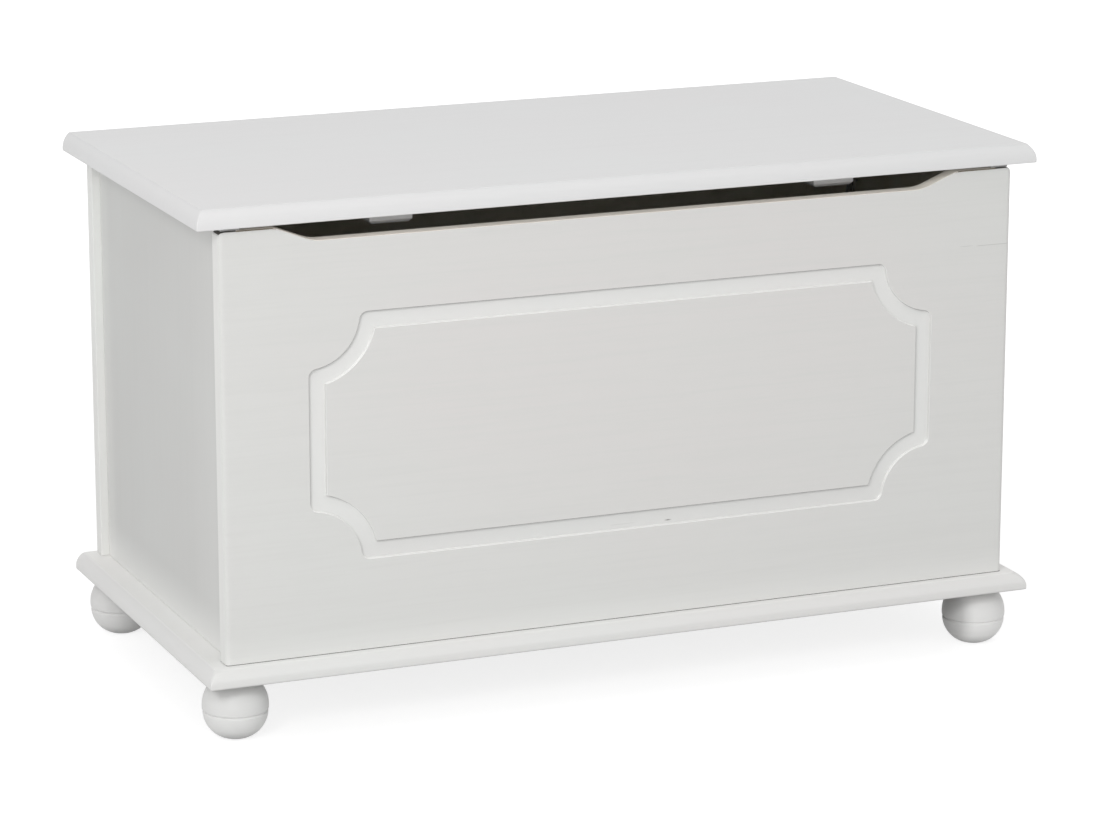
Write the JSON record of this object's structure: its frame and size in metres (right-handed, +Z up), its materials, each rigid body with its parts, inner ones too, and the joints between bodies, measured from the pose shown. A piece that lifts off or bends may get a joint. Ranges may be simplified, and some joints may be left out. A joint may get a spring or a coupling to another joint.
{
  "type": "toy chest",
  "caption": "Painted wooden chest with a hinged moulded-edge lid, a routed front panel with a hand gap, a moulded base board and ball feet.",
  "frame": {"origin": "on the floor, under the middle of the overall box", "axes": "+Z up, +X along the width to the right as seen from the front, +Y towards the hinged back"},
  "size_m": [0.845, 0.435, 0.5015],
  "materials": {
    "white_paint": "satin white paint over pine",
    "zinc_steel": "bright zinc plate",
    "beech": "bare fluted beech",
    "grey_pad": "matt grey"
  },
  "bodies": {
    "chest": {"base_board": "white_paint", "front_panel": "white_paint", "back_panel": "white_paint", "side_panel_left": "white_paint", "side_panel_right": "white_paint", "foot_front_left": "white_paint", "foot_front_right": "white_paint", "foot_rear_left": "white_paint", "foot_rear_right": "white_paint", "foot_bolts": "zinc_steel", "foot_inserts": "zinc_steel", "hinge_left_box_leaf": "zinc_steel", "hinge_left_pin": "zinc_steel", "hinge_right_box_leaf": "zinc_steel", "hinge_right_pin": "zinc_steel", "hinge_box_screws": "zinc_steel", "stay_slide_screw_left": "zinc_steel", "stay_slide_screw_right": "zinc_steel", "lid_buffer_left": "grey_pad", "lid_buffer_right": "grey_pad", "cam_locks": "zinc_steel", "cam_bolts": "zinc_steel", "corner_dowels": "beech", "base_dowels": "beech", "base_screws": "zinc_steel"},
    "lid": {"lid_panel": "white_paint", "lid_batten_left": "white_paint", "lid_batten_right": "white_paint", "batten_screws": "zinc_steel", "hinge_left_lid_leaf": "zinc_steel", "hinge_right_lid_leaf": "zinc_steel", "hinge_lid_screws": "zinc_steel", "stay_bracket_left": "zinc_steel", "stay_bracket_right": "zinc_steel", "stay_rivet_left": "zinc_steel", "stay_rivet_right": "zinc_steel", "stay_bracket_screws": "zinc_steel"},
    "left_stay": {"stay_arm_left": "zinc_steel"},
    "right_stay": {"stay_arm_right": "zinc_steel"}
  },
  "joints": [
    {"name": "lid_hinge", "type": "hinge", "parent": "chest", "child": "lid", "pos_m": [0, 0.2145, 0.4815], "axis": [-1, 0, 0], "range_deg": [0, 90]},
    {"name": "left_stay_pivot", "type": "hinge", "parent": "lid", "child": "left_stay", "pos_m": [-0.3697, 0.06477, 0.4725], "axis": [1, 0, 0], "range_deg": [0, 45]},
    {"name": "right_stay_pivot", "type": "hinge", "parent": "lid", "child": "right_stay", "pos_m": [0.3697, 0.06477, 0.4725], "axis": [1, 0, 0], "range_deg": [0, 45]}
  ],
  "couplings": [
    {"joint": "left_stay_pivot", "follows": "lid_hinge", "ratio": 0.5},
    {"joint": "right_stay_pivot", "follows": "lid_hinge", "ratio": 0.5}
  ]
}
